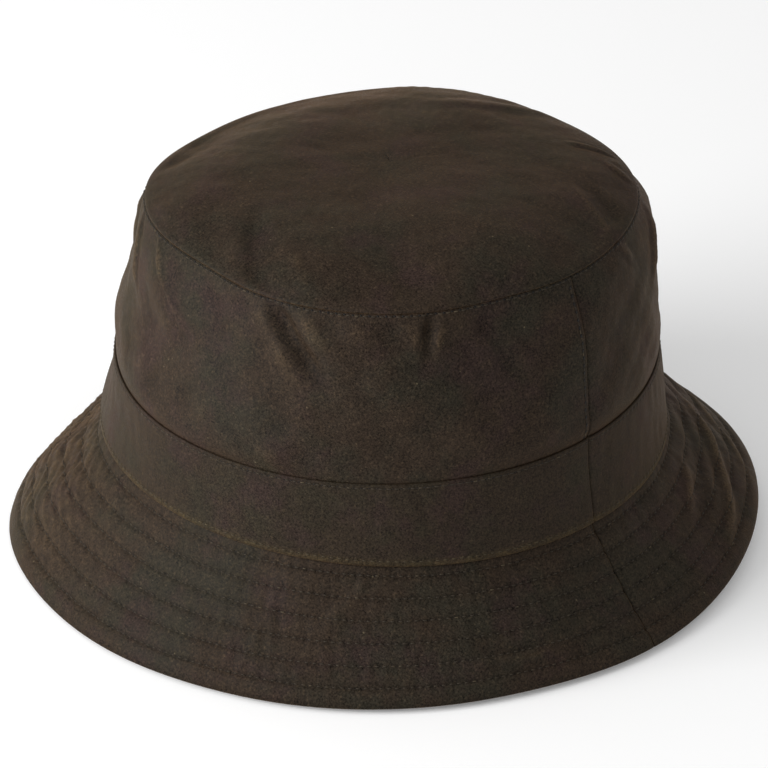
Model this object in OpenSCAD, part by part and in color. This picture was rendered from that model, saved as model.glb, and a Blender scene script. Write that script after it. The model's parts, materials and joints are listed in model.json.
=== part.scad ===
// Bucket hat in waxed cotton, sewn from separate pieces of cloth.
// It is round about Z and stands with its brim edge on z = 0. The front faces
// -Y, and the two side seams lie on the X axis. Sizes are in millimetres.

/* [Head opening] */
// Radius of the sweatband's inner face where the head goes in
opening_r = 93.2; // [90:0.1:95]
// Height of the straight hem at the foot of the sweatband
opening_h = 8; // [5:1:8]
// Height of the sweatband
sweatband_h = 26; // [24:1:34]

/* [Brim] */
// Radius of the brim's outer edge
brim_r = 130; // [122:1:142]
// Height of the brim seam above the surface that the hat stands on
brim_h = 44; // [32:1:48]
// Distance along the slope from the brim edge to the hem stitching
hem_w = 8.5; // [5:0.5:10]
// Distance along the slope from one row of stitching to the next
row_pitch = 8; // [5:0.5:8]
// Rows of stitching between the hem and the band
row_count = 5; // [3:1:5]

/* [Band] */
// Height of the band's top edge above the brim seam
band_h = 27; // [25:1:36]
// How far the band laps down over the brim seam
band_lap = 2; // [1:0.5:2]
// How far the band's lower edge stands away from the crown
band_flare = 1.2; // [0.8:0.1:1.6]

/* [Crown] */
// Height of the crown's side, from the brim seam to the tip seam
crown_h = 85; // [84:1:100]
// Radius of the tip seam
tip_r = 82; // [78:1:86]
// Rise of the tip from its seam to its middle
tip_dome = 9; // [4:1:10]

/* [Cloth] */
// Thickness of the waxed cotton shell
shell_t = 0.8; // [0.6:0.1:1]
// Thickness of the lining
lining_t = 0.3; // [0.2:0.05:0.4]
// Thickness of the brim's interlining
interlining_t = 0.9; // [0.6:0.1:1.2]
// Thickness of the sweatband
sweatband_t = 0.9; // [0.6:0.1:1]
// Thickness of the sewing thread
thread_d = 0.4; // [0.3:0.05:0.5]

/* [Labels] */
// Width of the care label that hangs from the sweatband
care_label_w = 24; // [16:1:28]
// Length of the care label below its stitched edge
care_label_l = 14; // [10:1:14]
// Width of the blank patch inside the tip
patch_w = 50; // [30:1:60]
// Depth of the blank patch inside the tip
patch_l = 30; // [20:1:40]

/* [Hidden] */
$fn = 128;

ply_gap = 0.1;          // air between two layers of cloth
tip_gap = 0.3;          // air under the tip, which moves when the crown is pressed
seam_gap = 0.12;        // air between the front and rear panels, in degrees
label_t = 0.3;
label_gap = 0.4;        // air around a label, so that it is free to lift
seam_margin = 2.2;      // from a seam or a folded edge to its row of stitching
steps = 12;             // straight runs that make up a curved outline

// Heights of the seams
tip_z = brim_h + crown_h;
band_top_z = brim_h + band_h;
band_foot_z = brim_h - band_lap;
sweatband_top_z = brim_h + sweatband_h;

// Depth of each layer below the crown's outer face, measured level
lining_out = shell_t + ply_gap;
lining_in = lining_out + lining_t;
sweatband_out = lining_in + ply_gap;
sweatband_in = sweatband_out + sweatband_t;

// Outer radius of the crown at its foot: the sweatband hem is straight, and
// its top still has the sweatband's whole thickness behind the opening radius.
function shrink(u) = (u + pow(u, 4)) / 2;
hem_shrink = shrink(opening_h / crown_h);
crown_foot_r = (opening_r + sweatband_in - hem_shrink * tip_r) / (1 - hem_shrink);

// Outer radius of the crown's side at height z: almost upright at the foot,
// and rounding in towards the tip seam.
function crown_r(z) = crown_foot_r - (crown_foot_r - tip_r) * shrink((z - brim_h) / crown_h);

// The brim is a cone. Its top face starts under the band at brim_in_r.
brim_in_r = crown_foot_r - shell_t;
brim_top_z = brim_h - 2 * ply_gap;
brim_angle = atan2(brim_top_z, brim_r - brim_in_r);
slope_l = norm([brim_top_z, brim_r - brim_in_r]);

// A point at distance s down the brim's slope, and d below its top face
function slope_point(s, d = 0) = [
    brim_in_r + s * cos(brim_angle) - d * sin(brim_angle),
    brim_top_z - s * sin(brim_angle) - d * cos(brim_angle)
];

// Points of the crown's outer face from height a to height b, moved in by d
function crown_line(a, b, d) = [
    for (i = [0:steps]) let (z = a + (b - a) * i / steps) [crown_r(z) - d, z]
];
function reversed(v) = [for (i = [len(v) - 1:-1:0]) v[i]];

// Outline of a layer that follows the crown's side
module crown_layer(a, b, outer, inner) {
    polygon(concat(crown_line(a, b, outer), reversed(crown_line(a, b, inner))));
}

// Outline of a brim layer between two depths. It is cut upright at the head
// opening, and level at height foot_z.
module brim_layer(outer, inner, foot_z) {
    function radius_at(z, d) = brim_in_r + (brim_top_z - z - d / cos(brim_angle)) / tan(brim_angle);
    function height_at(d) = brim_top_z - d / cos(brim_angle);
    polygon([
        [brim_in_r, height_at(outer)],
        [radius_at(foot_z, outer), foot_z],
        [radius_at(foot_z, inner), foot_z],
        [brim_in_r, height_at(inner)]
    ]);
}

// Height of the tip above its seam at distance x from the middle: flat across
// the top, and rounding over at the shoulder
function dome(x) = tip_dome * (1 - pow(x / tip_r, 4));

// Outline of a layer of the tip, with its lower face at height z at its edge
module dome_layer(r, z, t) {
    lower = [for (i = [0:steps]) let (x = r * i / steps) [x, z + dome(x) - dome(r)]];
    polygon(concat(lower, reversed([for (p = lower) [p.x, p.y + t]])));
}

// The two halves between the side seams
module rear_panel() {
    rotate([0, 0, seam_gap / 2]) rotate_extrude(angle = 180 - seam_gap) children();
}
module front_panel() {
    rotate([0, 0, 180]) rear_panel() children();
}

// A ring of thread lying on the cloth: p is the point on the cloth, and lean
// the direction that the cloth faces there, in degrees above level.
module thread_ring(p, lean) {
    off = thread_d / 2 + ply_gap / 2;
    rotate_extrude()
        translate([p.x + off * cos(lean), p.y + off * sin(lean)]) circle(d = thread_d);
}

// ---- Waxed cotton shell ----

module crown_tip() {
    color("#4a3f33") rotate_extrude() dome_layer(tip_r, tip_z + tip_gap, shell_t);
}
module crown_side() crown_layer(brim_h, tip_z, 0, shell_t);
module crown_side_front() color("#453a30") front_panel() crown_side();
module crown_side_rear() color("#453a30") rear_panel() crown_side();

module hat_band() {
    top_r = crown_r(band_top_z) + ply_gap;
    foot_r = crown_foot_r + ply_gap + band_flare;
    polygon([
        [foot_r, band_foot_z],
        [foot_r + shell_t, band_foot_z],
        [top_r + shell_t, band_top_z],
        [top_r, band_top_z]
    ]);
}
module hat_band_front() color("#4d4336") front_panel() hat_band();
module hat_band_rear() color("#4d4336") rear_panel() hat_band();

module brim_upper_front() color("#40372d") front_panel() brim_layer(0, shell_t, 0);
module brim_upper_rear() color("#40372d") rear_panel() brim_layer(0, shell_t, 0);

// ---- Inside the brim ----

interlining_out = shell_t + ply_gap;
brim_lower_out = interlining_out + interlining_t + ply_gap;
hem_z = slope_point(slope_l - hem_w).y;

module brim_interlining() brim_layer(interlining_out, interlining_out + interlining_t, hem_z);
module brim_interlining_front() color("#c9c2b2") front_panel() brim_interlining();
module brim_interlining_rear() color("#c9c2b2") rear_panel() brim_interlining();

module brim_lower() brim_layer(brim_lower_out, brim_lower_out + shell_t, 2 * ply_gap);
module brim_lower_front() color("#40372d") front_panel() brim_lower();
module brim_lower_rear() color("#40372d") rear_panel() brim_lower();

// ---- Lining and sweatband ----

lining_top_z = tip_z - lining_out;
lining_tip_r = crown_r(lining_top_z) - lining_in;

module lining_tip() {
    color("#5b5340") rotate_extrude() dome_layer(lining_tip_r, lining_top_z + tip_gap, lining_t);
}
module lining_side() crown_layer(brim_h, lining_top_z, lining_out, lining_in);
module lining_side_front() color("#5b5340") front_panel() lining_side();
module lining_side_rear() color("#5b5340") rear_panel() lining_side();

// One strip with a straight, thicker hem at its foot; its ends meet at the rear
module sweatband() {
    color("#2e2a25")
        rotate([0, 0, 90 + seam_gap]) rotate_extrude(angle = 360 - 2 * seam_gap)
            polygon(concat(
                [[opening_r, brim_h]],
                crown_line(brim_h, sweatband_top_z, sweatband_out),
                reversed(crown_line(brim_h + opening_h, sweatband_top_z, sweatband_in))
            ));
}

// ---- Labels ----

// The label is flat, so its corners come nearest to the round sweatband. It
// hangs by its top edge, just under the line of thread.
corner_r = crown_r(sweatband_top_z) - sweatband_in - label_gap;
label_y = sqrt(pow(corner_r, 2) - pow(care_label_w / 2, 2));
label_z = sweatband_top_z - seam_margin - 2 * label_gap;

module care_label() {
    color("#d8d4c8")
        translate([-care_label_w / 2, label_y - label_t, label_z - care_label_l])
            cube([care_label_w, label_t, care_label_l]);
}

// A flat patch, so its corners are what comes nearest to the domed lining
module size_patch() {
    corner = norm([patch_w, patch_l]) / 2;
    under = lining_top_z + tip_gap + dome(corner) - dome(lining_tip_r) - ply_gap;
    color("#d8d4c8")
        translate([-patch_w / 2, -patch_l / 2, under - label_t]) cube([patch_w, patch_l, label_t]);
}

// ---- Sewing thread ----

band_lean = atan2(crown_foot_r + band_flare - crown_r(band_top_z), band_top_z - band_foot_z);
function band_point(z) = [
    crown_r(band_top_z) + ply_gap + shell_t + (band_top_z - z) * tan(band_lean), z
];
// Direction that the crown's side faces at height z, in degrees above level
function crown_lean(z) = atan2(crown_r(z - 1) - crown_r(z + 1), 2);

module thread_tip_seam() {
    z = tip_z - seam_margin;
    color("#2b251e") thread_ring([crown_r(z), z], crown_lean(z));
}
module thread_band_top() {
    color("#2b251e") thread_ring(band_point(band_top_z - seam_margin), band_lean);
}
module thread_band_foot() {
    color("#6a5a34") thread_ring(band_point(band_foot_z + seam_margin), band_lean);
}
module thread_brim_rows() {
    color("#2b251e")
        for (i = [1:row_count])
            thread_ring(slope_point(slope_l - hem_w - i * row_pitch), 90 - brim_angle);
}
module thread_brim_hem() {
    color("#2b251e") thread_ring(slope_point(slope_l - hem_w), 90 - brim_angle);
}
module thread_sweatband() {
    z = sweatband_top_z - seam_margin;
    color("#2b251e") thread_ring([crown_r(z) - sweatband_in, z], 180);
}
// One line of thread beside each side seam, from the band to the tip
module thread_side_seams() {
    aside = asin(seam_margin / crown_foot_r);
    width = asin(thread_d / crown_foot_r);
    near = -ply_gap / 2;
    color("#2b251e")
        for (turn = [0, 180])
            rotate([0, 0, turn - aside]) rotate_extrude(angle = width)
                crown_layer(band_top_z + ply_gap, tip_z - 2 * seam_margin, near - thread_d, near);
}

crown_tip();
crown_side_front();
crown_side_rear();
hat_band_front();
hat_band_rear();
brim_upper_front();
brim_upper_rear();
brim_interlining_front();
brim_interlining_rear();
brim_lower_front();
brim_lower_rear();
lining_tip();
lining_side_front();
lining_side_rear();
sweatband();
care_label();
size_patch();
thread_tip_seam();
thread_side_seams();
thread_band_top();
thread_band_foot();
thread_brim_rows();
thread_brim_hem();
thread_sweatband();
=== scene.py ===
# %% [markdown]
# # A waxed-cotton bucket hat
# The hat is sewn from flat pieces: a round tip, two side panels, a band and a
# sloping brim that rows of stitching stiffen. Inside are a lining, a
# sweatband and two labels. The CAD model gives each piece its place and size.
# Here each one becomes cloth: thin, folded at its edges, pulled in by its
# stitches, and a little creased.

# %% Load the frame
import json
import math

import bpy
import numpy as np
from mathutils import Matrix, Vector


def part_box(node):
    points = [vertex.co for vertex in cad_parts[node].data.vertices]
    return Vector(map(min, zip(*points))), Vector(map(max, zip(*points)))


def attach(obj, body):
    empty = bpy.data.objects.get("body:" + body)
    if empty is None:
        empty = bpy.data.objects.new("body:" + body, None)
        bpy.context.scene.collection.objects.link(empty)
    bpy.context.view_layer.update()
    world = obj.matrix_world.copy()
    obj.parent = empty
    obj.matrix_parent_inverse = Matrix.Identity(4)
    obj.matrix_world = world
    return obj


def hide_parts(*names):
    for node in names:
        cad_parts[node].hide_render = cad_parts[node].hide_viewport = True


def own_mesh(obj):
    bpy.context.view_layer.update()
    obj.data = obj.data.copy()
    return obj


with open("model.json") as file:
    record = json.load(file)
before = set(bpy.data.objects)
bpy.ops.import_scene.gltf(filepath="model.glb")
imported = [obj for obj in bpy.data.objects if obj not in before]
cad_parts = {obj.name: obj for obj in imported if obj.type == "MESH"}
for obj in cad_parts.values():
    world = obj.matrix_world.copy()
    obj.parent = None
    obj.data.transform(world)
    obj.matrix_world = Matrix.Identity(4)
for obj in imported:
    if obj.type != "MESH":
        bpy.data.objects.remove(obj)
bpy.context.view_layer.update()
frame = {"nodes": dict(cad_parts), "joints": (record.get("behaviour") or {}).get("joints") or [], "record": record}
MM = 0.001
print("nodes:", len(frame["nodes"]))

# %% [markdown]
# ## Where things are
# Every height and radius comes from the CAD nodes' own boxes, so the cloth
# lands on the frame with no fitting. The hat is round, so a box's reach along
# -Y is a radius.

# %% Read heights and radii from the CAD nodes
def bottom(node):
    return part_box(node)[0].z


def top(node):
    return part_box(node)[1].z


def reach(node):
    return -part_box(node)[0].y


brim_radius = reach("brim_upper_front")
brim_top = top("brim_upper_front")
band_foot = bottom("hat_band_front")
band_top = top("hat_band_front")
band_foot_radius = reach("hat_band_front")
seam_height = top("crown_side_front")
tip_radius = reach("crown_tip")
tip_rise = top("crown_tip") - seam_height
crown_foot_radius = reach("crown_side_front")
crown_foot = bottom("crown_side_front")
head_opening = next(m for m in frame["record"]["mounts"] if m["name"] == "head_opening")
opening_radius = head_opening["dims"]["r_mm"] * MM
sweatband_top = top("sweatband")
press = next(j for j in frame["joints"] if j["name"] == "crown_press")
press_travel = max(press["range_m"])
print("brim radius %.1f mm, tip seam at %.1f mm" % (brim_radius / MM, seam_height / MM))

# %% [markdown]
# ## Camera
# The hat is seen from its front left, so that one side seam shows, and from
# well above the brim. A long lens from 1.6 m keeps the brim's ellipse calm.

# %% Set up the camera
view_azimuth = math.radians(44)
view_height = math.radians(31.5)
view_distance = 1.6
look_at = Vector((0, 0, 0.052))
rightward = Vector((math.cos(view_azimuth), math.sin(view_azimuth), 0))
away = Vector((-math.sin(view_azimuth), math.cos(view_azimuth), 0))

camera = bpy.data.objects.new("camera", bpy.data.cameras.new("camera"))
bpy.context.scene.collection.objects.link(camera)
bpy.context.scene.camera = camera
camera.data.lens = 217
camera.data.sensor_width = 36
towards_camera = Vector((0, 0, 1)) * math.sin(view_height) - away * math.cos(view_height)
camera.location = look_at + towards_camera * view_distance
camera.rotation_mode = "QUATERNION"
camera.rotation_quaternion = (-towards_camera).to_track_quat("-Z", "Y")
print("camera at", tuple(round(c, 3) for c in camera.location))

# %% [markdown]
# ## Floor and light
# Product light: a white table that glows a little, a white surround, and one
# large soft light low on the left. The surround alone would leave the hat
# flat. The low light brightens the left flank, leaves the right in half
# shade, and lays a soft shadow behind the hat. A faint light behind lifts the
# far edge of the tip.

# %% Build the lights
def from_camera(right, back, up):
    return look_at + rightward * right + away * back + Vector((0, 0, up))


def soft_light(name, place, size, power):
    light = bpy.data.objects.new(name, bpy.data.lights.new(name, "AREA"))
    light.data.shape = "SQUARE"
    light.data.size = size
    light.data.energy = power
    light.location = place
    light.rotation_mode = "QUATERNION"
    light.rotation_quaternion = (look_at - place).to_track_quat("-Z", "Y")
    bpy.context.scene.collection.objects.link(light)
    return light


soft_light("key_light", from_camera(-1.3, -0.55, 0.57), 0.95, 27)
soft_light("rim_light", from_camera(-0.5, 1.7, 0.6), 1.0, 0.6)
world = bpy.data.worlds.new("white_surround")
world.use_nodes = True
world.node_tree.nodes["Background"].inputs["Color"].default_value = (1, 1, 1, 1)
world.node_tree.nodes["Background"].inputs["Strength"].default_value = 0.6
bpy.context.scene.world = world
bpy.context.scene.view_settings.view_transform = "Standard"

# %% [markdown]
# ## Shader maths
# A finish is easier to read as sums. `Value` wraps a socket, and each
# operator on it adds one Math node. Other nodes come from `Finish.add`.

# %% Wrap sockets in a class
class Value:
    """A shader socket that can be used in sums."""

    def __init__(self, finish, socket):
        self.finish = finish
        self.socket = socket

    def sum(self, operation, a, b=0.0):
        return self.finish.add("ShaderNodeMath", {"operation": operation}, {0: a, 1: b})

    def __add__(self, other):
        return self.sum("ADD", self, other)

    def __radd__(self, other):
        return self.sum("ADD", other, self)

    def __sub__(self, other):
        return self.sum("SUBTRACT", self, other)

    def __rsub__(self, other):
        return self.sum("SUBTRACT", other, self)

    def __mul__(self, other):
        return self.sum("MULTIPLY", self, other)

    def __rmul__(self, other):
        return self.sum("MULTIPLY", other, self)

    def above(self, edge):
        """1 where this value is over edge, and 0 elsewhere."""
        return self.sum("GREATER_THAN", self, edge)

    def between(self, low, high):
        """Rises smoothly from 0 at low to 1 at high."""
        settings = {"interpolation_type": "SMOOTHSTEP"}
        inputs = {"Value": self, "From Min": low, "From Max": high}
        return self.finish.add("ShaderNodeMapRange", settings, inputs)


class Finish:
    """A material under construction."""

    def __init__(self, name):
        self.material = bpy.data.materials.new(name)
        self.material.use_nodes = True
        self.tree = self.material.node_tree
        self.surface = self.tree.nodes["Principled BSDF"]
        self.place = self.add("ShaderNodeTexCoord", {}, {}, "Object")

    def add(self, kind, settings, inputs, output=0):
        """Add a node: first its settings, then a number or a link for each input."""
        node = self.tree.nodes.new(kind)
        for name, value in settings.items():
            setattr(node, name, value)
        for name, value in inputs.items():
            if isinstance(value, Value):
                self.tree.links.new(value.socket, node.inputs[name])
            else:
                node.inputs[name].default_value = value
        return Value(self, node.outputs[output])

    def noise(self, scale, detail=3.0, roughness=0.5, where=None):
        inputs = {"Vector": where or self.place, "Scale": scale, "Detail": detail, "Roughness": roughness}
        return self.add("ShaderNodeTexNoise", {}, inputs)

    def stretched(self, x, y, z):
        """The object's own coordinates, scaled along each axis."""
        return self.add("ShaderNodeVectorMath", {"operation": "MULTIPLY"}, {0: self.place, 1: (x, y, z)})

    def mix(self, share, first, second, blend="MIX"):
        settings = {"data_type": "RGBA", "blend_type": blend}
        return self.add("ShaderNodeMix", settings, {"Factor": share, 6: first, 7: second}, 2)

    def grey(self, value):
        """A grey from a value, for multiplying a colour."""
        return self.add("ShaderNodeCombineColor", {}, {0: value, 1: value, 2: value})

    def attribute(self, name):
        return self.add("ShaderNodeAttribute", {"attribute_name": name}, {}, "Fac")

    def bump(self, height, strength, distance):
        return self.add("ShaderNodeBump", {}, {"Height": height, "Strength": strength, "Distance": distance})

    def set(self, **sockets):
        """Set the surface shader's sockets; an underscore stands for a space."""
        for name, value in sockets.items():
            socket = self.surface.inputs[name.replace("_", " ")]
            if isinstance(value, Value):
                self.tree.links.new(value.socket, socket)
            else:
                socket.default_value = value
        return self.material


print("shader helpers ready")

# %% [markdown]
# ## Waxed cotton
# The cloth is a tight cotton with wax pressed into it, nearly black-brown.
# The wax lies unevenly, so the brown drifts a little towards green and
# towards plum, and the weave shows as fine light and dark specks. Light is
# painted in too: raised folds and the flanks seen edge-on are mixed towards
# tan as painted highlight and sheen, and valleys are darkened as painted
# shade. The band's folded lower edge is also mixed paler. A painted image
# could hold all this, but noise nodes fit any shape without seams. Each piece
# stores how far its cloth stands out of its plain shape as `relief`, in mm,
# and a second value for how far it is mixed towards tan, and the finish
# reads both.

# %% Mix the waxed cotton
def colour(red, green, blue):
    """A colour as on screen, from 0 to 255, made linear."""
    linear = [c / 255 / 12.92 if c <= 10 else ((c / 255 + 0.055) / 1.055) ** 2.4 for c in (red, green, blue)]
    return (*linear, 1)


def waxed_cotton(name, brown, green, plum, sheen_edge_fleck_tan):
    f = Finish(name)
    drift = f.noise(30, 4, 0.6).between(0.42, 0.62)
    blush = f.noise(44, 4, 0.6, f.stretched(-1, 1, -1)).between(0.48, 0.68)
    handled = f.noise(170, 6, 0.72)
    specks = f.noise(1500, 3, 0.8)
    flush = f.noise(900, 2, 0.7, f.stretched(1, -1, -1))
    slub = f.noise(1, 3, 0.6, f.stretched(420, 420, 2200))
    relief = f.attribute("relief")
    # The second attribute: painted tan sheen at the crown's and brim's flanks seen edge-on, and the band's paler
    # lower edge.
    sheen_and_pale_edge = f.attribute("sheen_and_pale_edge")
    # Raised folds, mixed towards tan below as a painted highlight on ridges.
    ridge = (relief + (handled - 0.5) * 0.5).between(0.2, 1.1)
    base = f.mix(drift * 0.8, brown, green)
    base = f.mix(blush * 0.7, base, plum)
    # The mix towards tan: a painted highlight on raised ridges, a painted tan sheen on flanks seen edge-on (on the
    # band, its paler lower edge), and random pale flecks.
    sheen_edge_fleck_share = ridge * 0.22 + sheen_and_pale_edge * handled.between(0.25, 0.6) * 0.7 + flush.between(0.5, 0.8) * 0.16
    base = f.mix(sheen_edge_fleck_share, base, sheen_edge_fleck_tan)
    # Low relief is darkened: painted shade in valleys, stitch channels and the curled hem. The other terms of
    # shade are random tone and grain.
    raised = relief.between(-0.7, 0.15)
    shade = 0.83 + raised * 0.28 + (handled - 0.5) * 0.8 + (specks - 0.5) * 4.4
    shade = shade + (flush - 0.5) * 0.7 + (slub - 0.5) * 0.3
    base = f.mix(1.0, base, f.grey(shade), "MULTIPLY")
    fleck = f.add("ShaderNodeTexVoronoi", {}, {"Vector": f.place, "Scale": 300.0}, "Distance")
    chosen = f.add("ShaderNodeTexVoronoi", {}, {"Vector": f.place, "Scale": 300.0}, "Color")
    lint = fleck.between(0.14, 0.04) * chosen.above(0.82)
    base = f.mix(lint * 0.4, base, colour(120, 108, 84))
    rough = 0.6 + (handled - 0.5) * 0.3 - ridge * 0.08 + (specks - 0.5) * 1.2
    height = specks * 0.9 + slub * 0.4 + handled * 0.9
    return f.set(
        Base_Color=base,
        Roughness=rough,
        Normal=f.bump(height, 0.45, 0.4 * MM),
        Specular_IOR_Level=0.06,
        Sheen_Weight=0.16,
        Sheen_Roughness=0.4,
        Sheen_Tint=colour(205, 156, 100),
    )


shell_cloth = waxed_cotton(
    "waxed_cotton_shell", colour(42, 34, 27), colour(37, 35, 28), colour(44, 33, 31), colour(94, 77, 56)
)
band_cloth = waxed_cotton(
    "waxed_cotton_band", colour(41, 34, 27), colour(38, 35, 27), colour(44, 33, 31), colour(74, 62, 38)
)
print("waxed cotton:", shell_cloth.name, band_cloth.name)

# %% [markdown]
# ## Thread, lining, tape and canvas
# Sewing thread is twisted, so it gets fine ribs and an odd pale fleck. It is
# dyed close to the cloth, and what shows from afar is the dark needle hole
# at each end of a stitch. The lining is a plain matt cotton, the sweatband a
# diagonal twill, the labels a smooth woven tape, and the canvas inside the
# brim is coarse and pale.

# %% Mix the thread
def thread_finish(name, tone, fleck):
    f = Finish(name)
    ply = f.noise(1400, 2, 0.5)
    odd = f.noise(260, 2, 0.5).between(0.56, 0.72)
    base = f.mix(odd * 0.8, tone, fleck)
    base = f.mix(1.0, base, f.grey(0.6 + ply * 0.8), "MULTIPLY")
    return f.set(
        Base_Color=base,
        Roughness=0.55 + ply * 0.2,
        Normal=f.bump(ply, 0.4, 0.1 * MM),
        Specular_IOR_Level=0.25,
    )


dark_thread = thread_finish("dark_thread_finish", colour(46, 39, 29), colour(78, 68, 50))
light_thread = thread_finish("light_thread_finish", colour(54, 46, 31), colour(74, 64, 43))
# Near black: painted shade inside each needle hole.
needle_hole = thread_finish("needle_hole_shade", colour(15, 12, 9), colour(22, 18, 13))
print("threads:", [m.name for m in (dark_thread, light_thread, needle_hole)])

# %% Mix the woven cloths
def woven(name, tone, other, across, along, roughness, sheen):
    """A plain weave: two crossing sets of fine uneven threads."""
    f = Finish(name)
    warp = f.noise(1, 2, 0.5, f.stretched(across, across, along))
    weft = f.noise(1, 2, 0.5, f.stretched(along, along, across))
    weave = warp * 0.5 + weft * 0.5
    cloudy = f.noise(60, 4, 0.6)
    base = f.mix(cloudy.between(0.35, 0.65), tone, other)
    base = f.mix(1.0, base, f.grey(0.7 + weave * 0.6), "MULTIPLY")
    return f.set(
        Base_Color=base,
        Roughness=roughness + (weave - 0.5) * 0.2,
        Normal=f.bump(weave, 0.5, 0.2 * MM),
        Sheen_Weight=sheen,
    )


def twill(name, tone, other):
    """Slanting ribs that wind round the hat."""
    f = Finish(name)
    parts = {axis: f.add("ShaderNodeSeparateXYZ", {}, {0: f.place}, axis) for axis in "XYZ"}
    turn = f.add("ShaderNodeMath", {"operation": "ARCTAN2"}, {0: parts["Y"], 1: parts["X"]})
    rib_width = 1.1 * MM
    phase = (turn * opening_radius + parts["Z"]) * (2 * math.pi / rib_width)
    rib = f.add("ShaderNodeMath", {"operation": "SINE"}, {0: phase})
    fine = f.noise(1300, 2, 0.5)
    base = f.mix(f.noise(70, 4, 0.6).between(0.35, 0.65), tone, other)
    base = f.mix(1.0, base, f.grey(0.8 + rib * 0.12 + (fine - 0.5) * 0.5), "MULTIPLY")
    return f.set(Base_Color=base, Roughness=0.8 + rib * 0.05, Normal=f.bump(rib + fine, 0.5, 0.12 * MM))


lining_cloth = woven("lining_cotton_weave", colour(92, 84, 62), colour(82, 78, 60), 500, 2200, 0.78, 0.1)
canvas = woven("canvas_weave", colour(196, 188, 168), colour(184, 174, 150), 300, 1200, 0.9, 0.0)
label_tape = woven("label_tape_weave", colour(216, 210, 196), colour(206, 199, 182), 900, 3600, 0.45, 0.1)
sweatband_twill = twill("sweatband_twill", colour(44, 39, 33), colour(38, 35, 31))
print("finishes:", sorted(m.name for m in (lining_cloth, canvas, label_tape, sweatband_twill)))

# %% [markdown]
# ## Making cloth
# Each piece of cloth starts as a formula for its outer face: an angle round
# the hat and a distance along the cloth go in, and a point comes out. The
# same formula then gives the mesh, its thickness, and the places of the
# stitches, so that thread and cloth always agree.

# %% Define how a face becomes a closed piece of cloth
def on_circle(radius, angle, z):
    return np.stack([radius * np.cos(angle), radius * np.sin(angle), z + 0 * angle], axis=-1)


def unit(v):
    return v / np.maximum(np.linalg.norm(v, axis=-1, keepdims=True), 1e-12)


def normal_of(face, angle, along):
    """The direction that a face looks in, from four points close by."""
    turn, step = 0.2 * MM / brim_radius, 0.1 * MM
    across = face(angle + turn, along) - face(angle - turn, along)
    up = face(angle, along + step) - face(angle, along - step)
    return unit(np.cross(across, up))


def make_piece(name, points, faces, finish, fields=None):
    """A mesh object. fields are named values, one for each point, that its finish reads."""
    mesh = bpy.data.meshes.new(name)
    mesh.from_pydata(np.asarray(points).reshape(-1, 3).tolist(), [], faces)
    mesh.materials.append(finish)
    mesh.polygons.foreach_set("use_smooth", [True] * len(mesh.polygons))
    for field, values in (fields or {}).items():
        stored = mesh.attributes.new(field, "FLOAT", "POINT")
        stored.data.foreach_set("value", np.asarray(values, np.float32).ravel())
    piece = bpy.data.objects.new(name, mesh)
    bpy.context.scene.collection.objects.link(piece)
    print("%s: %d points" % (name, len(mesh.vertices)))
    return piece


def stand_in(piece, node, body="hat"):
    """Show a piece in place of a CAD node, moving with a body."""
    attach(piece, body)
    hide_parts(node)


def grid_faces(rows, columns, ring, closed_rows):
    """Quads between the rows and columns of a grid, joined end to end where it closes."""
    row = np.arange(rows if closed_rows else rows - 1)
    column = np.arange(columns if ring else columns - 1)
    r, c = np.meshgrid(row, column, indexing="ij")
    r2, c2 = (r + 1) % rows, (c + 1) % columns
    corners = [r * columns + c, r * columns + c2, r2 * columns + c2, r2 * columns + c]
    return np.stack(corners, axis=-1).reshape(-1, 4)


def cloth(name, face, angles, alongs, thickness, finish, relief=None, sheen_and_pale_edge=None):
    """A closed piece of cloth with rounded edges. face is its outer side, and its thickness goes inwards."""
    along, angle = np.meshgrid(np.asarray(alongs), np.asarray(angles), indexing="ij")
    outer = face(angle, along)
    inner = outer - normal_of(face, angle, along) * thickness
    middle = (outer + inner) / 2
    first = middle[:1] + unit(outer[:1] - outer[1:2]) * thickness / 2
    last = middle[-1:] + unit(outer[-1:] - outer[-2:-1]) * thickness / 2
    section = np.concatenate([outer, last, inner[::-1], first])
    rows, columns = outer.shape[:2]
    faces = grid_faces(len(section), columns, False, True).tolist()
    for column, flip in ((0, False), (columns - 1, True)):
        loop = [(r * columns + column) for r in range(len(section))]
        cap = [[loop[r], loop[r + 1], loop[2 * rows - r - 1], loop[2 * rows - r]] for r in range(rows - 1)]
        cap += [[loop[rows - 1], loop[rows], loop[rows + 1]], [loop[0], loop[2 * rows], loop[2 * rows + 1]]]
        faces += [f[::-1] for f in cap] if flip else cap
    fields = {}
    for field, values in (("relief", relief), ("sheen_and_pale_edge", sheen_and_pale_edge)):
        if values:
            v = values(angle, along) / (MM if field == "relief" else 1)
            fields[field] = np.concatenate([v, v[-1:], v[::-1], v[:1]])
    return make_piece(name, section, faces, finish, fields)


print("cloth helpers ready")

# %% [markdown]
# ## Stitches
# A lockstitch shows as a row of short dashes of thread, with a needle hole
# between each two. A line drawn in the finish would look printed, so each
# dash is a small tapered tube that dips into the cloth at both ends, and
# each hole a tiny hollow coloured near black, as painted shade.

# %% Define a row of stitches
THREAD = 0.42 * MM
STITCH = 2.7 * MM
DASH_HALF = 0.35  # half of a dash, as a share of a stitch


def stitch_count(length):
    return max(1, round(length / STITCH))


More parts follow.
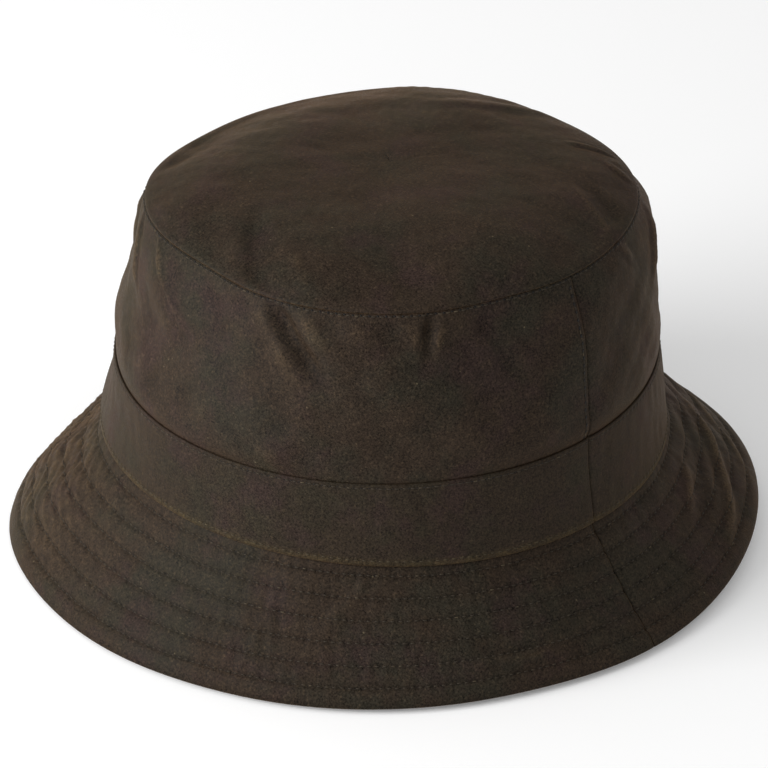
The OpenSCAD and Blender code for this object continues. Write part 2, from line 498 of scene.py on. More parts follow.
def stitches(path, length, lift=0.05 * MM):
    """Points, faces and hole faces of a row. path(t) gives the points and normals at distance t."""
    count = stitch_count(length)
    pitch = length / count
    rings, sides = 5, 6
    u = np.linspace(-1, 1, rings)
    centres = (np.arange(count) + 0.5)[:, None] * pitch + u[None, :] * pitch * DASH_HALF
    place, facing = path(centres)
    dip = (lift - 0.5 * MM * np.abs(u) ** 5)[None, :, None]
    spine = place + facing * dip
    forward = unit(np.gradient(spine, axis=1))
    side = unit(np.cross(forward, facing))
    lifted = np.cross(side, forward)
    radius = (THREAD / 2 * np.sqrt(1 - 0.6 * np.abs(u) ** 4))[None, :, None, None]
    turn = np.linspace(0, 2 * math.pi, sides, endpoint=False)[None, None, :, None]
    ring = side[:, :, None] * np.cos(turn) + lifted[:, :, None] * np.sin(turn)
    tubes = (spine[:, :, None] + radius * ring).reshape(count, -1, 3)
    one = grid_faces(rings, sides, True, False).tolist()
    one += [list(range(sides))[::-1], [(rings - 1) * sides + i for i in range(sides)]]
    faces = [[i + k * rings * sides for i in f] for k in range(count) for f in one]

    place, facing = path(np.arange(count + 1)[:, None] * pitch + np.array([[0.0, 0.05 * MM]]))
    forward = unit(place[:, 1] - place[:, 0])[:, None]
    centre, facing = place[:, 0][:, None], facing[:, 0][:, None]
    spin = turn[0, 0][None]
    flat = forward * np.cos(spin) * 0.7 * MM + np.cross(facing, forward) * np.sin(spin) * 0.5 * MM
    mouth = centre + flat + facing * 0.05 * MM
    foot = centre + flat * 0.4 - facing * 0.6 * MM
    holes = np.concatenate([mouth, foot], axis=1)
    wall = grid_faces(2, sides, True, False)[:, ::-1].tolist()
    wall += [list(range(sides)), [sides + i for i in range(sides)][::-1]]
    start = count * rings * sides
    hole_faces = [[start + i + k * 2 * sides for i in f] for k in range(count + 1) for f in wall]
    return np.concatenate([tubes.reshape(-1, 3), holes.reshape(-1, 3)]), faces, hole_faces


def sew(name, rows, finish):
    """Join rows of stitches into one piece, with its needle holes in their own near-black finish of painted shade.
    """
    points, faces, holes, used = [], [], [], 0
    for row_points, row_faces, row_holes in rows:
        points.append(row_points)
        faces += [[i + used for i in f] for f in row_faces]
        holes += [[i + used for i in f] for f in row_holes]
        used += len(row_points)
    piece = make_piece(name, np.concatenate(points), faces + holes, finish)
    piece.data.materials.append(needle_hole)
    piece.data.polygons.foreach_set("material_index", [0] * len(faces) + [1] * len(holes))
    return piece


def ring_row(face, along, radius, under=False):
    """A row of stitches all round, at one distance along a face."""
    def path(t):
        angle = t / radius
        at = np.full_like(angle, along)
        facing = normal_of(face, angle, at)
        return face(angle, at), -facing if under else facing
    return stitches(path, 2 * math.pi * radius)


def stitch_dimples(angle, along, row, radius, width, depth):
    """How deep the cloth is drawn in at each stitch of a ring row."""
    count = stitch_count(2 * math.pi * radius)
    pull = 0.35 + 0.65 * (0.5 + 0.5 * np.cos(count * angle)) ** 2
    return depth * pull * np.exp(-(((along - row) / width) ** 2))


print("stitch helpers ready")

# %% [markdown]
# ## Creases and waves
# Cloth is never a clean cone. Slow waves bend each piece, quick ones pucker
# it along the stitching, and a few creases are listed where the crown
# has been folded in use. A cloth simulation would place creases by chance;
# listed one by one, they fall where hands fold a hat. Waves that fit a whole
# number of times round the hat close up without a step. Every swell is placed
# by its angle from the line to the camera.

# %% Define waves, swells and creases
def waves(seed, count, turns, lengths):
    """A random field round the hat. turns is waves per turn, and lengths their lengths along the cloth."""
    draw = np.random.default_rng(seed)
    n = draw.integers(turns[0], turns[1] + 1, count)
    k = 2 * math.pi / draw.uniform(*lengths, count) * draw.choice([-1, 1], count)
    phase = draw.uniform(0, 2 * math.pi, count)

    def field(angle, along):
        total = sum(np.cos(a * angle + b * along + c) for a, b, c in zip(n, k, phase))
        return total * math.sqrt(2 / count)

    return field


def ripples(seed, count, lengths):
    """A random field over flat cloth, with wavelengths from lengths."""
    draw = np.random.default_rng(seed)
    way = draw.uniform(0, math.pi, count)
    k = 2 * math.pi / draw.uniform(*lengths, count)
    phase = draw.uniform(0, 2 * math.pi, count)

    def field(x, y):
        total = sum(np.cos(b * (x * math.cos(a) + y * math.sin(a)) + c) for a, b, c in zip(way, k, phase))
        return total * math.sqrt(2 / count)

    return field


def seen_at(angle):
    """Degrees to the right of the line to the camera, from -180 to 180."""
    return (np.degrees(angle - view_azimuth) + 90 + 180) % 360 - 180


def swell(angle, centre, width):
    """A smooth bump of height 1, centred so many degrees to the right of the camera."""
    off = (seen_at(angle) - centre + 180) % 360 - 180
    return np.exp(-((off / width) ** 2))


def crease(x, y, start, end, width, depth):
    """A soft valley, all in mm, with the cloth pushed up beside it. Less than 0 deep is a ridge."""
    (x0, y0), (x1, y1) = start, end
    length = math.hypot(x1 - x0, y1 - y0)
    dx, dy = (x1 - x0) / length, (y1 - y0) / length
    t = ((x - x0) * dx + (y - y0) * dy) / length
    off = ((x - x0) * dy - (y - y0) * dx) / width
    fade = np.exp(-np.abs((t - 0.5) / 0.56) ** 4)
    across = np.exp(-off**2) - 0.24 * np.exp(-((np.abs(off) - 1.9) ** 2))
    return -depth * MM * fade * across


def laid_on(relief, x, y, creases):
    """Add creases to a relief, each given by its start, end, width and depth."""
    for start, end, width, depth in creases:
        relief = relief + crease(x, y, start, end, width, depth)
    return relief


def ramp(value, start, end):
    """Rises smoothly from 0 at start to 1 at end."""
    t = np.clip((value - start) / (end - start), 0, 1)
    return t * t * (3 - 2 * t)


print("creases ready")

# %% [markdown]
# ## Brim
# The brim is three layers: upper cloth, canvas and lower cloth. Six rows of
# stitching go through all three, so every layer has the same channels. Near
# a row the cloth is pulled down, between rows it stands up, and it puckers
# across them. The outermost strip is a turned hem, which swells a little and
# curls down at its edge.

# %% Shape the brim
inner_radius = crown_foot_radius - 0.8 * MM
slope = math.hypot(brim_radius - inner_radius, brim_top)
slope_angle = math.atan2(brim_top, brim_radius - inner_radius)
hem = slope - math.hypot(reach("thread_brim_hem") - inner_radius, brim_top - bottom("thread_brim_hem"))
row_count = 5
top_row = top("thread_brim_rows") / brim_top * slope
rows = [hem + (top_row - hem) * i / row_count for i in range(1, row_count + 1)]
print("brim rows are %.1f mm apart" % ((top_row - hem) / row_count / MM))
pucker = waves(3, 26, (64, 170), (14 * MM, 50 * MM))
ripple = waves(5, 14, (12, 30), (30 * MM, 90 * MM))
sway = waves(8, 8, (3, 7), (80 * MM, 300 * MM))
hem_curl = 1.1 * MM


def row_radius(along):
    return brim_radius - along * math.cos(slope_angle)


def restless(angle):
    """How lively the brim is: calm at the front, puckered at the right and the back left."""
    return 0.4 + 0.35 * swell(angle, 85, 45) + 0.4 * swell(angle, -125, 45)


# Distance round the brim, to the right of the line to the camera, and distance
# in from its edge. The first four are the long folds at the right. After them
# come the dip beside these and three small folds in front.
BRIM_CREASES = (
    ((207, 36), (150, 13), 2.2, -1.4),
    ((232, 28), (185, 10), 2, -1.1),
    ((160, 41), (140, 30), 2, -0.8),
    ((250, 40), (215, 26), 2, -0.9),
    ((195, 45), (146, 26), 3, 0.7),
    ((60, 12), (30, 16), 1.6, -0.4),
    ((74, 20), (44, 13), 1.8, -0.5),
    ((-8, 44), (-20, 30), 2.4, -0.5),
)


def pleats(angle, along):
    """Slanted puckers, where the rows have pulled the cloth askew."""
    x = seen_at(angle) * math.pi / 180 * row_radius(slope / 2) / MM
    y = along / MM
    drift = ripple(angle, along) * 0.5
    waves_round, slant = 45, math.pi / (5.5 * MM)
    left = np.exp(-3 * np.sin(waves_round * angle + slant * along + drift) ** 2) * swell(angle, -100, 34)
    out = (left * 0.7 * MM) * ramp(y, 6, 14) * ramp(y, 52, 44)
    return laid_on(out, x, y, BRIM_CREASES)


def stitched_in(angle, along):
    """The rolled hem, and the channels that the rows of stitching draw in."""
    drawn_in = sum(np.exp(-(((along - row) / (1.3 * MM)) ** 2)) for row in rows)
    width, depth = 0.6 * MM, 0.3 * MM
    dimples = sum(stitch_dimples(angle, along, row, row_radius(row), width, depth) for row in rows + [hem])
    hem_line = np.exp(-(((along - hem) / (1.1 * MM)) ** 2))
    rolled = 0.4 * MM * np.sin(np.clip(along / hem, 0, 1) * math.pi) ** 0.6
    # The curl also lowers the stored relief, so the finish darkens the hem's outer strip: painted shade.
    rolled = rolled - hem_curl * (1 - np.clip(along / hem, 0, 1)) ** 2
    return rolled - (0.22 + 0.2 * restless(angle)) * MM * drawn_in - 0.35 * MM * hem_line - dimples


def brim_relief(angle, along):
    """How far the upper cloth stands out of its plain shape."""
    round_hat = restless(angle) * (1 - 0.6 * swell(angle, 90, 40))
    up_slope = 0.25 + 0.75 * ramp(along, 0, 12 * MM)
    small = pucker(angle, along) * 0.14 * MM * round_hat * up_slope
    return stitched_in(angle, along) + pleats(angle, along) + small


def brim_sheen(angle, along):
    """Painted tan sheen at the two sides, where the brim is seen edge-on, strongest on the crests of the pleats.
    """
    crest = np.clip(pleats(angle, along) / (0.5 * MM), 0, 1)
    return (0.1 + 0.4 * crest) * (swell(angle, -100, 40) + 0.5 * swell(angle, 92, 40))


def brim_edge(angle):
    """Radius and height of the brim's edge, which lifts off the table, most of all at the right."""
    radius = brim_radius - 5.9 * MM * swell(angle, 8, 42) + 3 * MM * swell(angle, -84, 20)
    radius = radius - 1.3 * MM * (swell(angle, -30, 16) + swell(angle, 26, 14))
    radius = radius - 6 * MM * swell(angle, -122, 24) + 2.6 * MM * swell(angle, 100, 32)
    lift = 0.9 * MM + 1.3 * MM * swell(angle, 8, 42) + 8 * MM * swell(angle, 98, 38)
    lift = lift + 3 * MM * swell(angle, -160, 35)
    return radius, lift


def tilt(angle):
    """The brim seam sits a little high at the left and low at the right."""
    return -3.2 * MM * np.sin(np.radians(seen_at(angle))) * (1 - 0.9 * swell(angle, -105, 45))


def brim_shape(angle, along, relief):
    share = along / slope
    radius, lift = brim_edge(angle)
    r = radius * (1 - share) + inner_radius * share
    z = lift * np.clip(1 - share, 0, 1) ** 1.6 + (brim_top + tilt(angle)) * share
    bow = 0.8 * MM * np.sin(np.clip(share, 0, 1) * math.pi) * sway(angle, along)
    bow = bow + ripple(angle, along) * 0.3 * MM * restless(angle) * ramp(along, 0, 12 * MM)
    sunk = np.exp(-(((along - 42 * MM) / (10 * MM)) ** 2))
    bow = bow - 3 * MM * swell(angle, -112, 28) * sunk
    out = relief + bow - seam_groove(angle, r)
    return on_circle(r + out * math.sin(slope_angle), angle, z + out * math.cos(slope_angle))


def brim_face(angle, along):
    return brim_shape(angle, along, brim_relief(angle, along))


def calm_face(angle, along):
    """The brim without its puckers, for the layers under the upper cloth."""
    return brim_shape(angle, along, stitched_in(angle, along))


def seam_groove(angle, r):
    """The fine line of a side seam, and the pull on the cloth beside it."""
    off = np.abs(np.sin(angle)) * r
    return 0.5 * MM * np.exp(-((off / (0.35 * MM)) ** 2)) + 0.3 * MM * np.exp(-((off / (2.2 * MM)) ** 2))


def below(face, depth):
    """The face of a layer that lies so far under another face. depth is a number or depends on along."""
    def lower(angle, along):
        far = depth(along) if callable(depth) else depth
        return face(angle, along) - normal_of(face, angle, along) * np.asarray(far)[..., None]
    return lower


# %% Cut and place the layers of the brim
def half(front, columns, gap=0.02 * MM):
    """Angles across a front or rear half, closer together at its two seams."""
    near = (gap + np.array([0, 0.15, 0.3, 0.5, 0.8, 1.2]) * MM) / crown_foot_radius
    start = (gap + 1.7 * MM) / crown_foot_radius
    middle = np.linspace(start, math.pi - start, columns)
    angles = np.concatenate([near, middle, math.pi - near[::-1]])
    return angles + (math.pi if front else 0)


def spaced(start, end, step, marks=()):
    """Distances from start to end, with extra ones close to each mark."""
    values = list(np.linspace(start, end, max(2, round((end - start) / step) + 1)))
    for mark in marks:
        values += [mark + k * MM for k in (-1.2, -0.6, 0, 0.6, 1.2)]
    values = sorted(v for v in values if start <= v <= end)
    kept = [values[0]]
    for v in values[1:]:
        if v - kept[-1] > 0.28 * MM:
            kept.append(v)
    return kept


layer_gap = 0.1 * MM
cloth_thickness = 0.8 * MM
canvas_thickness = 0.9 * MM
seam_clear = 1.4 * MM
columns = 640


def canvas_room(along):
    """Space for the canvas between the two cloths. It stops at the hem, so there they close up."""
    return (canvas_thickness + layer_gap) * ramp(along, hem - 3 * MM, hem - 0.5 * MM)


under_face = below(calm_face, lambda along: cloth_thickness + layer_gap + canvas_room(along))
for side in ("front", "rear"):
    marks = rows + [hem]
    upper = cloth("brim_cloth_" + side, brim_face, half(side == "front", columns),
                  spaced(0.9 * MM, slope, 1.6 * MM, marks), cloth_thickness, shell_cloth,
                  relief=brim_relief, sheen_and_pale_edge=brim_sheen)
    stand_in(upper, "brim_upper_" + side)
    layer = cloth("brim_canvas_" + side, below(calm_face, cloth_thickness + 1.5 * layer_gap),
                  half(side == "front", columns // 2, seam_clear), spaced(hem, slope, 1.6 * MM, marks),
                  canvas_thickness - layer_gap, canvas)
    stand_in(layer, "brim_interlining_" + side)
    lower = cloth("brim_lining_" + side, under_face, half(side == "front", columns // 2),
                  spaced(1.7 * MM, slope, 1.6 * MM, marks), cloth_thickness, shell_cloth,
                  relief=stitched_in)
    stand_in(lower, "brim_lower_" + side)

# %% Sew the brim
under_side = below(calm_face, lambda along: 2 * cloth_thickness + layer_gap + canvas_room(along))


def brim_rows(distances):
    found = []
    for along in distances:
        found.append(ring_row(brim_face, along, row_radius(along)))
        found.append(ring_row(under_side, along, row_radius(along), under=True))
    return found


for node, distances in (("thread_brim_rows", rows), ("thread_brim_hem", [hem])):
    name = node.replace("thread_", "") + "_stitches"
    stand_in(sew(name, brim_rows(distances), dark_thread), node)

# %% [markdown]
# ## Crown side
# Two panels stand up from the band to the tip seam. They puff out a little
# over the band's top edge and round in at the shoulder.

# %% Shape the crown
seam_drop = 0.5 * MM
side_top = seam_height - seam_drop
margin = 2.2 * MM
tip_row_height = side_top - 0.8 * MM
shoulder_height = side_top - 11.5 * MM
pinch_top, pinch_full = side_top - 8.5 * MM, side_top - 30.5 * MM
slow_folds = waves(21, 12, (3, 9), (30 * MM, 110 * MM))
small_folds = waves(23, 22, (12, 40), (10 * MM, 45 * MM))
fine_folds = waves(27, 24, (50, 130), (5 * MM, 16 * MM))


def tip_edge_radius(angle):
    """The tip seam is no clean circle: it is full at the two sides, and flatter at the back and front."""
    full = 1.5 * swell(angle, 90, 22) + 1.3 * swell(angle, -90, 20)
    flat = 3 * swell(angle, -50, 16) + 2 * swell(angle, 26, 14)
    back = 10 * swell(angle, -148, 34) + 4.5 * swell(angle, 180, 30) + 6.5 * swell(angle, 140, 30)
    back = back + 2.2 * swell(angle, -119, 16)
    return tip_radius + (full - flat - back) * MM


def crown_lean(z):
    """How far the crown leans to the right above the band."""
    return 2.3 * MM * np.clip((z - band_top) / (30 * MM), 0, 1)


def plain_radius(z):
    u = (z - crown_foot) / (seam_height - crown_foot)
    return crown_foot_radius - (crown_foot_radius - tip_radius) * (u + u**4) / 2


# Distance round the crown, to the right of the line to the camera, and height
# above the table. The first is the deepest, at the front left.
CROWN_CREASES = (
    ((-52, 132), (-26, 108), 3.4, 2.6),
    ((-37, 131), (-17, 114), 2, -0.35),
    ((-120, 131), (-89, 108), 0.9, -0.8),
    ((-137, 127), (-124, 108), 1.4, -1.2),
    ((-152, 128), (-146, 112), 2, -1.2),
    ((16, 132), (13, 116), 2.2, 1.8),
    ((6, 132), (6, 120), 3.4, -0.5),
    ((32, 128), (48, 100), 3, 0.7),
    ((106, 130), (114, 122), 1.6, -1.1),
    ((146, 122), (130, 108), 2, -1.3),
)


def crown_relief(angle, z):
    """The small folds, creases and stitching of the crown side."""
    x = seen_at(angle) * math.pi / 180 * crown_foot_radius / MM
    y = z / MM
    held = ramp(z, band_top, band_top + 9 * MM)
    seam = ramp(z, side_top, side_top - 6 * MM)
    free = held * (0.25 + 0.75 * seam)
    out = small_folds(angle, z) * 0.18 * MM + fine_folds(angle, z) * 0.03 * MM
    out = laid_on(out, x, y, CROWN_CREASES)
    return out * free - stitch_dimples(angle, z, tip_row_height, tip_radius, 0.6 * MM, 0.25 * MM)


def crown_sheen(angle, z):
    """Painted tan sheen at the two flanks, where the crown side is seen edge-on."""
    shoulders = swell(angle, -100, 24) + swell(angle, 97, 20)
    return 0.15 * shoulders * ramp(z, side_top + 3 * MM, side_top - 12 * MM)


def crown_bulk(angle, z):
    """The slow swells of the crown side: over the band, at the shoulders, and all over."""
    rise = np.clip(z - band_top, 0, None) / (7 * MM)
    puff = 1.3 * MM * rise * np.exp(1 - rise)
    shoulders = swell(angle, 92, 30) + 0.1 * swell(angle, -95, 26)
    full = 1.6 * MM * shoulders * np.exp(-(((z - shoulder_height) / (12 * MM)) ** 2))
    full = full * ramp(z, side_top, side_top - 6 * MM)
    free = ramp(z, band_top, band_top + 9 * MM) * ramp(z, side_top, side_top - 8 * MM)
    return puff + full + slow_folds(angle, z) * 0.65 * MM * free


def pinch(angle, z):
    """The crown is pressed in a little at its left, just over the band."""
    upright = ramp(z, band_foot, band_foot + 20 * MM) * ramp(z, pinch_top, pinch_full)
    return 2.4 * MM * swell(angle, -98, 32) * upright


def crown_face(angle, z):
    up = np.clip((z - band_top) / (seam_height - band_top), 0, 1)
    r = plain_radius(z) + (tip_edge_radius(angle) - tip_radius) * up**2 + crown_relief(angle, z)
    r = r + crown_bulk(angle, z) - pinch(angle, z)
    turned_in = 0.35 * MM * np.clip(1 - (side_top - z) / (0.6 * MM), 0, 1) ** 2
    r = r - turned_in - seam_groove(angle, r)
    lean = crown_lean(z)[..., None] * np.array(rightward)
    return on_circle(r, angle, z) + lean


def flatten(piece, seam_z):
    """Give a piece its own copy of its mesh. The share of its height that would stay as the crown is pressed down
    is worked out but not used.
    """
    keep = 1 - press_travel / (seam_z - band_top)
    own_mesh(piece)


print("shoulders at %.1f mm" % (shoulder_height / MM))

# %% Cut and place the crown side
for side in ("front", "rear"):
    panel = cloth("side_cloth_" + side, crown_face, half(side == "front", columns),
                  spaced(band_top - 4 * MM, side_top, 1.3 * MM, [tip_row_height]), cloth_thickness,
                  shell_cloth, relief=crown_relief, sheen_and_pale_edge=crown_sheen)
    stand_in(panel, "crown_side_" + side)
    flatten(panel, side_top)

# %% Sew the crown side
tip_row = ring_row(crown_face, tip_row_height, tip_radius)
tip_thread = sew("tip_seam_stitches", [tip_row], dark_thread)
stand_in(tip_thread, "thread_tip_seam")
flatten(tip_thread, side_top)


def seam_row(face, foot, head, angle):
    """A row of stitches up a face, a margin to one side of a side seam."""
    def path(t):
        at = np.full_like(t, angle)
        return face(at, foot + t), normal_of(face, at, foot + t)
    return stitches(path, head - foot)


beside = margin / crown_foot_radius
row_foot, row_head = band_top + 1 * MM, side_top - 1.6 * margin
side_rows = [seam_row(crown_face, row_foot, row_head, turn - beside) for turn in (0, math.pi)]
side_thread = sew("side_seam_stitches", side_rows, dark_thread)
stand_in(side_thread, "thread_side_seams")
flatten(side_thread, side_top)

# %% [markdown]
# ## Tip
# The tip is one round piece, nearly flat across the top, that rolls over at
# the shoulder into its seam. It goes down with the crown's own body.

# %% Shape and place the tip
tip_swells = ripples(31, 9, (45 * MM, 110 * MM))
tip_folds = ripples(33, 16, (12 * MM, 34 * MM))
tip_fine = ripples(35, 24, (4 * MM, 9 * MM))


# Distance to the right of the middle and distance away from the camera: first
# the dent at the front left and a ridge beside it, then the small folds at the
# right, one at the back and one at the left.
TIP_CREASES = (
    ((-46, -34), (-43, -70), 4, 1.3),
    ((-34, -54), (-28, -70), 2.5, -0.5),
    ((62, -12), (73, -34), 0.8, -0.45),
    ((67, -11), (77, -28), 3, 0.8),
    ((74, 9), (81, 2), 1.2, -0.7),
    ((62, 20), (76, 18), 1.2, -0.8),
    ((14, 43), (54, 46), 3, -0.7),
    ((-76, 10), (-64, 22), 3, 0.6),
)


def tip_relief(angle, inward):
    """inward is the distance from the tip's edge towards its middle."""
    rho = np.clip(tip_edge_radius(angle) - inward, 0, None)
    across, back = rho * np.cos(angle - view_azimuth), rho * np.sin(angle - view_azimuth)
    out = tip_folds(across, back) * 0.14 * MM + tip_fine(across, back) * 0.04 * MM
    out = laid_on(out, across / MM, back / MM, TIP_CREASES)
    return out * ramp(inward, 0, 4 * MM)


def tip_bulk(angle, inward):
    """Slow swells, and a slump at the back of the left shoulder."""
    rho = np.clip(tip_edge_radius(angle) - inward, 0, None)
    slow = tip_swells(rho * np.cos(angle - view_azimuth), rho * np.sin(angle - view_azimuth)) * 0.5 * MM
    slump = 1.8 * MM * swell(angle, -128, 30) * np.exp(-(((inward - 9 * MM) / (10 * MM)) ** 2))
    return (slow - slump) * ramp(inward, 0, 6 * MM)


def tip_face(angle, inward):
    """The underside of the tip's cloth, which meets the top edge of the crown side."""
    radius = tip_edge_radius(angle) - seam_drop
    rho = radius - inward
    share = np.abs(rho) / radius
    rise = (tip_rise - cloth_thickness) * (1 - share**4)
    roll = 0.2 * MM * np.clip(1 - inward / (0.6 * MM), 0, 1) ** 2 + 1.3 * MM * np.exp(-inward / (6 * MM))
    z = seam_height + 1.0 * MM + rise - roll + tip_relief(angle, inward) + tip_bulk(angle, inward)
    return on_circle(rho, angle, z) + crown_lean(z)[..., None] * np.array(rightward)


full_turn = np.linspace(0, 2 * math.pi, 720, endpoint=False)


def disc(name, face, thickness, edges, finish, relief=None):
    """A closed round piece. face is its underside, and edges are distances in from its rim."""
    inward, angle = np.meshgrid(np.asarray(edges), full_turn, indexing="ij")
    lower = face(angle, inward)
    upper = lower + normal_of(face, angle, inward) * thickness
    middle = (lower + upper) / 2
    rim = middle[:1] + unit(lower[:1] - lower[1:2]) * thickness / 2
    section = np.concatenate([lower[::-1], rim, upper])
    columns_here = len(full_turn)
    faces = grid_faces(len(section), columns_here, True, False).tolist()
    points = section.reshape(-1, 3)
    centres = np.stack([lower[-1].mean(axis=0), upper[-1].mean(axis=0)])
    first, last = len(points), (len(section) - 1) * columns_here
    for c in range(columns_here):
        after = (c + 1) % columns_here
        faces += [[c, first, after], [last + after, first + 1, last + c]]
    fields = {}
    if relief:
        h = relief(angle, inward) / MM
        fields["relief"] = np.concatenate([h[::-1].ravel(), h[0], h.ravel(), [0, 0]])
    return make_piece(name, np.concatenate([points, centres]), faces, finish, fields)


tip_rings = list(np.array([0, 0.3, 0.6, 1.0, 1.5, 2.1, 2.8, 3.6, 4.6]) * MM)
tip_rings += list(np.linspace(5.6 * MM, 36 * MM, 32)) + list(np.linspace(38 * MM, 70 * MM, 12))
tip = disc("tip_cloth", tip_face, cloth_thickness, tip_rings, shell_cloth, tip_relief)
stand_in(tip, "crown_tip", "crown")

# %% [markdown]
# ## Band
# The band is a plain strip, folded under along both edges and stitched near
# each one. Its top edge lies tight on the crown; its lower edge stands off
# over the brim and is mixed paler.

# %% Shape, place and sew the band
band_waves = waves(41, 12, (4, 14), (50 * MM, 200 * MM))
band_small = waves(43, 20, (30, 110), (8 * MM, 40 * MM))
band_top_row = band_top - 1.1 * MM
band_foot_row = band_foot + 1.7 * MM


def band_relief(angle, z):
    top_line = stitch_dimples(angle, z, band_top_row, band_foot_radius, 0.6 * MM, 0.2 * MM)
    foot_line = stitch_dimples(angle, z, band_foot_row, band_foot_radius, 0.7 * MM, 0.3 * MM)
    foot_fold = 0.3 * MM * np.exp(-(((z - band_foot - 1.2 * MM) / (1.6 * MM)) ** 2))
    inner = ramp(z, band_foot, band_foot + 5 * MM) * ramp(z, band_top, band_top - 5 * MM)
    small = band_small(angle, z) * 0.04 * MM * (0.3 + 0.7 * inner)
    return foot_fold - top_line - foot_line + small


def band_foot_paler(angle, z):
    """The folded lower edge is mixed towards a paler olive."""
    return 0.4 * ramp(z, band_foot + 3.0 * MM, band_foot + 1.0 * MM)


def band_face(angle, z):
    share = (z - band_foot) / (band_top - band_foot)
    top_radius = plain_radius(band_top) + 0.95 * MM
    r = band_foot_radius + (top_radius - band_foot_radius) * share + band_relief(angle, z)
    between_edges = np.sin(np.clip(share, 0, 1) * math.pi)
    r = r + band_waves(angle, z) * 0.3 * MM * between_edges - pinch(angle, z)
    return on_circle(r - seam_groove(angle, r), angle, z + tilt(angle) * np.clip(1 - share, 0, 1))


for side in ("front", "rear"):
    strip = cloth("band_cloth_" + side, band_face, half(side == "front", columns),
                  spaced(band_foot, band_top, 1.5 * MM, [band_top_row, band_foot_row]),
                  cloth_thickness, band_cloth, relief=band_relief, sheen_and_pale_edge=band_foot_paler)
    stand_in(strip, "hat_band_" + side)

band_rows = (
    ("top", band_top_row, dark_thread, "dark_thread"),
    ("foot", band_foot_row, light_thread, "light_thread"),
)
for edge, height, finish, slot in band_rows:
    row = ring_row(band_face, height, band_foot_radius)
    stand_in(sew("band_%s_stitches" % edge, [row], finish), "thread_band_" + edge)

# %% [markdown]
# ## Lining and sweatband
# The lining repeats the crown in thin cotton just inside it. Only its part
# above the sweatband shows. The sweatband is one strip of twill with a
# straight hem at the head opening and a row of stitching along its top.

# %% Shape and place the lining
lining_thickness = 0.3 * MM
lining_depth = cloth_thickness + layer_gap
lining_top = top("lining_side_front") + 0.1 * MM
soft_waves = waves(51, 16, (8, 26), (25 * MM, 90 * MM))


def lining_face(angle, z):
    free = ramp(z, sweatband_top + 1 * MM, sweatband_top + 12 * MM)
    slack = (0.6 + soft_waves(angle, z) * 0.25) * MM * free
    return crown_face(angle, z) - on_circle(lining_depth + 0.1 * MM + slack, angle, 0 * z)


for side in ("front", "rear"):
    panel = cloth("lining_cloth_" + side, lining_face, half(side == "front", 160),
                  spaced(sweatband_top - 1 * MM, lining_top, 2 * MM), lining_thickness,
                  lining_cloth)
    stand_in(panel, "lining_side_" + side)
    flatten(panel, lining_top)


def lining_tip_face(angle, inward):
    """The underside of the tip's lining, which is a little smaller than the tip."""
    start = 1.9 * MM
    point = tip_face(angle, inward + start)
    return point - np.array([0, 0, 1.0]) * (cloth_thickness + 0.25 * MM)


lining_rings = list(np.linspace(0, 70 * MM, 30))
lining_tip = disc("lining_cloth_tip", lining_tip_face, lining_thickness, lining_rings,
                  lining_cloth)
stand_in(lining_tip, "lining_tip", "crown")

# %% Shape, place and sew the sweatband
sweatband_foot = bottom("sweatband")
sweatband_hem = 8 * MM
sweatband_sink = 2.2 * MM
sweatband_thickness = 0.9 * MM
sweatband_row = sweatband_top - 2.2 * MM
ease = waves(61, 14, (10, 40), (20 * MM, 80 * MM))


def sweatband_face(angle, z):
    """The face towards the head, which looks inwards."""
    follow = plain_radius(z) - sweatband_sink - pinch(angle, z)
    r = np.where(z < sweatband_foot + sweatband_hem, opening_radius, np.minimum(follow, opening_radius))
    fold = 0.3 * MM * np.exp(-(((z - sweatband_foot - sweatband_hem) / (0.9 * MM)) ** 2))
    row = 0.25 * MM * np.exp(-(((z - sweatband_row) / (0.9 * MM)) ** 2))
    free = np.clip((z - sweatband_foot - 9 * MM) / (8 * MM), 0, 1)
    return on_circle(r + fold + row + ease(angle, z) * 0.12 * MM * free, angle, z)


def turned(face):
    """The same face, taken the other way round, so that it looks inwards."""
    return lambda angle, along: face(-angle, along)


join = 0.12 * MM / opening_radius
turns = np.linspace(-math.pi / 2 + join, 1.5 * math.pi - join, 240)
marks = [sweatband_row, sweatband_foot + sweatband_hem]
strip = cloth("sweatband_strip", turned(sweatband_face), turns,
              spaced(sweatband_foot, sweatband_top, 1.6 * MM, marks), sweatband_thickness,
              sweatband_twill)
stand_in(strip, "sweatband")
row = ring_row(turned(sweatband_face), sweatband_row, opening_radius)
stand_in(sew("sweatband_stitches", [row], dark_thread), "thread_sweatband")
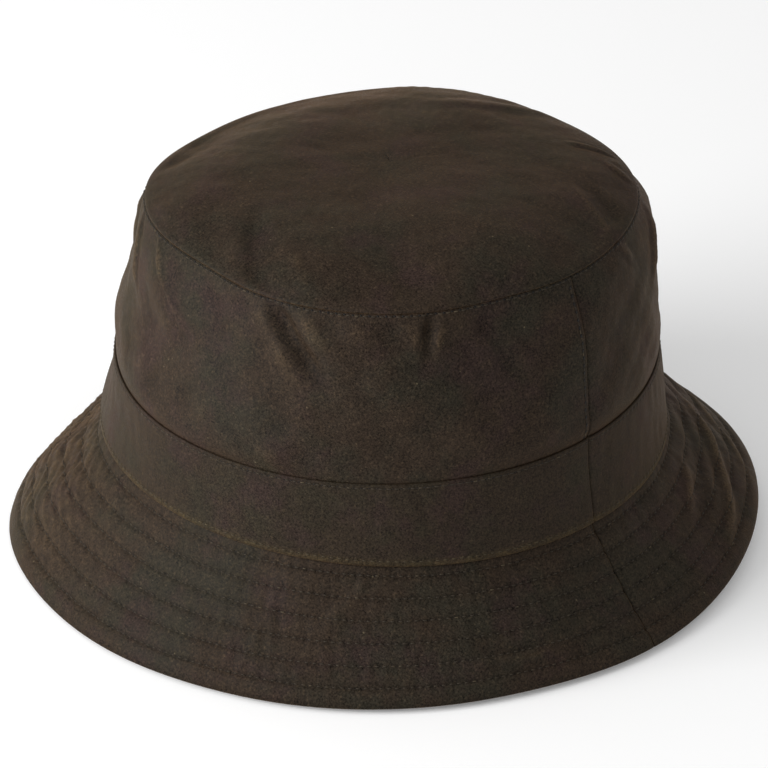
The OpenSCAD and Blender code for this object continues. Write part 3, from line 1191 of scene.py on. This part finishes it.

# %% [markdown]
# ## Labels
# A care label hangs inside at the back from its stitched top edge, and a
# patch is sewn inside the tip. Both are blank woven tape. The label is one
# small sheet with a little curl, bent in code.

# %% Make the care label and the patch
def flat_cloth(name, corner, across, down, curl, thickness, size):
    """A rectangle of tape from its corner, with curl(u, v) as its height off its plane."""
    u, v = np.meshgrid(np.linspace(0, 1, size), np.linspace(0, 1, size), indexing="ij")
    facing = unit(np.cross(across, down))
    front = corner + u[..., None] * across + v[..., None] * down + curl(u, v)[..., None] * facing
    back = front - facing * thickness
    section = np.concatenate([front, back[::-1]])
    faces = grid_faces(2 * size, size, False, True).tolist()
    for column, flip in ((0, False), (size - 1, True)):
        loop = [r * size + column for r in range(2 * size)]
        last = 2 * size - 1
        cap = [[loop[r], loop[r + 1], loop[last - r - 1], loop[last - r]] for r in range(size - 1)]
        faces += [f[::-1] for f in cap] if flip else cap
    return make_piece(name, section, faces, label_tape)


label_low, label_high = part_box("care_label")
label_width = label_high.x - label_low.x
label_length = label_high.z - label_low.z
tape = 0.3 * MM


def label_curl(u, v):
    """The label curls over towards its free end, and its corners a little more."""
    bend = 1.2 * MM * v**2 * (0.4 + 0.6 * np.sin(math.pi * u))
    return bend + 0.5 * MM * v * np.cos(2 * math.pi * u)


label = flat_cloth(
    "care_label_tape",
    np.array([label_low.x, label_low.y, label_high.z]),
    np.array([label_width, 0, 0]),
    np.array([0, 0, -label_length]),
    label_curl,
    tape,
    20,
)
stand_in(label, "care_label", "label")

patch_low, patch_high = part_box("size_patch")
patch_size = patch_high - patch_low
patch = flat_cloth(
    "size_patch_tape",
    np.array([patch_low.x, patch_high.y, patch_low.z]),
    np.array([patch_size.x, 0, 0]),
    np.array([0, -patch_size.y, 0]),
    lambda u, v: 0.15 * MM * np.sin(math.pi * u) * np.sin(math.pi * v),
    tape,
    16,
)
stand_in(patch, "size_patch", "crown")

# %% [markdown]
# ## Floor and finish
# The floor is a plain white sheet.

# %% Lay the floor and finish
floor_mesh = bpy.data.meshes.new("floor")
span = 4.0
floor_corners = [(-span, -span, 0), (span, -span, 0), (span, span, 0), (-span, span, 0)]
floor_mesh.from_pydata(floor_corners, [], [[0, 1, 2, 3]])
floor_finish = Finish("white_floor")
mottle = floor_finish.noise(3, 2, 0.5)
white = floor_finish.mix(mottle, (0.9, 0.9, 0.9, 1), (0.92, 0.92, 0.92, 1))
glow = {"Emission_Color": (1, 1, 1, 1), "Emission_Strength": 0.14}
floor_mesh.materials.append(floor_finish.set(Base_Color=white, Roughness=0.8, **glow))
floor = bpy.data.objects.new("floor", floor_mesh)
bpy.context.scene.collection.objects.link(floor)
